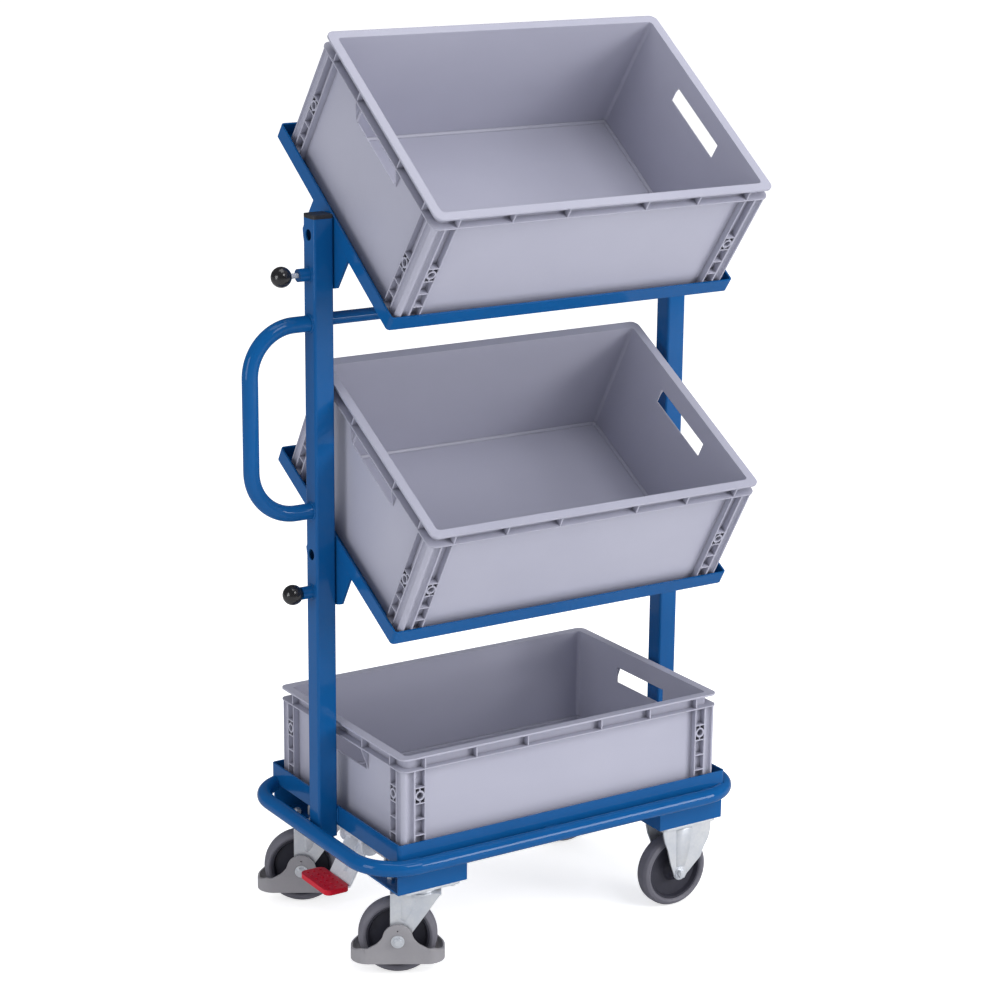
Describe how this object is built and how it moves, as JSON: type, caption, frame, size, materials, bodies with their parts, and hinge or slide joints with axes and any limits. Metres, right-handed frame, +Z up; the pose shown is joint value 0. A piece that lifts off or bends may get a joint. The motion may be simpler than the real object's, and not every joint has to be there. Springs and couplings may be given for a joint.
{
  "type": "bin trolley",
  "caption": "Push trolley: low deck and tilting trays between square masts, each with a lift-off bin; swivel and fixed casters, foot pedal brake.",
  "frame": {"origin": "on the floor, below the middle of the whole trolley's bounding box", "axes": "+Z up, +X along the trolley's length away from the push handle, +Y to the back, across its width; the bins' open sides lean to -Y"},
  "size_m": [0.813, 0.517, 1.4486],
  "materials": {
    "blue_paint": "semi-gloss",
    "black_plastic": "gloss",
    "zinc": "zinc plated, satin",
    "bin_plastic": "satin",
    "guard_plastic": "matte",
    "hub_plastic": "matte",
    "tread": "matte",
    "pedal_plastic": "gloss"
  },
  "bodies": {
    "chassis": {"deck_frame": "blue_paint", "bumper_loop": "blue_paint", "bracket_front_left": "blue_paint", "bracket_rear_left": "blue_paint", "bracket_front_right": "blue_paint", "bracket_rear_right": "blue_paint", "mast_left": "blue_paint", "mast_right": "blue_paint", "mast_caps": "black_plastic", "handle": "blue_paint", "cross_tube": "blue_paint", "pivot_bolts": "zinc", "pivot_nuts": "zinc", "pivot_washers": "zinc", "plunger_bosses": "blue_paint", "caster_plates": "zinc", "caster_bolts": "zinc", "caster_nuts": "zinc", "swivel_pins": "zinc", "fork_front_right": "zinc", "fork_rear_right": "zinc", "axle_front_right": "zinc", "axle_rear_right": "zinc", "axle_nuts_front_right": "zinc", "axle_nuts_rear_right": "zinc", "brake_bearings": "zinc"},
    "top_tray": {"top_tray_frame": "blue_paint", "top_tray_gussets": "blue_paint"},
    "middle_tray": {"middle_tray_frame": "blue_paint", "middle_tray_gussets": "blue_paint"},
    "top_plunger": {"top_plunger_spindle": "zinc", "top_plunger_ball": "black_plastic"},
    "middle_plunger": {"middle_plunger_spindle": "zinc", "middle_plunger_ball": "black_plastic"},
    "upper_bin": {"top_bin": "bin_plastic"},
    "centre_bin": {"middle_bin": "bin_plastic"},
    "lower_bin": {"low_bin": "bin_plastic"},
    "swivel_front": {"fork_front_left": "zinc", "guard_front_left": "guard_plastic", "axle_front_left": "zinc", "axle_nuts_front_left": "zinc"},
    "swivel_rear": {"fork_rear_left": "zinc", "guard_rear_left": "guard_plastic", "axle_rear_left": "zinc", "axle_nuts_rear_left": "zinc"},
    "wheel_front_left": {"hub_front_left": "hub_plastic", "tyre_front_left": "tread"},
    "wheel_rear_left": {"hub_rear_left": "hub_plastic", "tyre_rear_left": "tread"},
    "wheel_front_right": {"hub_front_right": "hub_plastic", "tyre_front_right": "tread"},
    "wheel_rear_right": {"hub_rear_right": "hub_plastic", "tyre_rear_right": "tread"},
    "brake": {"brake_shaft": "zinc", "brake_lever": "zinc", "pedal_pad": "pedal_plastic"}
  },
  "joints": [
    {"name": "top_tray_tilt", "type": "hinge", "parent": "chassis", "child": "top_tray", "pos_m": [0.054, 0.045, 1.151], "axis": [1, 0, 0], "range_deg": [-66, 0]},
    {"name": "middle_tray_tilt", "type": "hinge", "parent": "chassis", "child": "middle_tray", "pos_m": [0.054, 0.045, 0.651], "axis": [1, 0, 0], "range_deg": [-60, 0]},
    {"name": "top_plunger_pull", "type": "slide", "parent": "chassis", "child": "top_plunger", "axis": [-1, 0, 0], "range_m": [0, 0.003], "stiffness_N_per_m": 800, "springref_m": -0.01},
    {"name": "middle_plunger_pull", "type": "slide", "parent": "chassis", "child": "middle_plunger", "axis": [-1, 0, 0], "range_m": [0, 0.013], "stiffness_N_per_m": 800, "springref_m": -0.01},
    {"name": "top_bin_lift", "type": "slide", "parent": "top_tray", "child": "upper_bin", "axis": [0, -0.5878, 0.809], "range_m": [0, 0.26]},
    {"name": "middle_bin_lift", "type": "slide", "parent": "middle_tray", "child": "centre_bin", "axis": [0, -0.5, 0.866], "range_m": [0, 0.06]},
    {"name": "low_bin_lift", "type": "slide", "parent": "chassis", "child": "lower_bin", "axis": [0, 0, 1], "range_m": [0, 0.15]},
    {"name": "front_caster_swivel", "type": "hinge", "parent": "chassis", "child": "swivel_front", "pos_m": [-0.2025, -0.131, 0.14], "axis": [0, 0, 1], "continuous": true},
    {"name": "rear_caster_swivel", "type": "hinge", "parent": "chassis", "child": "swivel_rear", "pos_m": [-0.2025, 0.186, 0.14], "axis": [0, 0, 1], "continuous": true},
    {"name": "front_left_wheel_roll", "type": "hinge", "parent": "swivel_front", "child": "wheel_front_left", "pos_m": [-0.2309, -0.1142, 0.0625], "axis": [-0.509, -0.8607, 0], "continuous": true},
    {"name": "rear_left_wheel_roll", "type": "hinge", "parent": "swivel_rear", "child": "wheel_rear_left", "pos_m": [-0.2309, 0.2028, 0.0625], "axis": [-0.509, -0.8607, 0], "continuous": true},
    {"name": "front_right_wheel_roll", "type": "hinge", "parent": "chassis", "child": "wheel_front_right", "pos_m": [0.287, -0.13, 0.0625], "axis": [0, 1, 0], "continuous": true},
    {"name": "rear_right_wheel_roll", "type": "hinge", "parent": "chassis", "child": "wheel_rear_right", "pos_m": [0.287, 0.186, 0.0625], "axis": [0, 1, 0], "continuous": true},
    {"name": "brake_pedal", "type": "hinge", "parent": "chassis", "child": "brake", "pos_m": [-0.208, 0.045, 0.161], "axis": [0, -1, 0], "range_deg": [0, 15]}
  ]
}
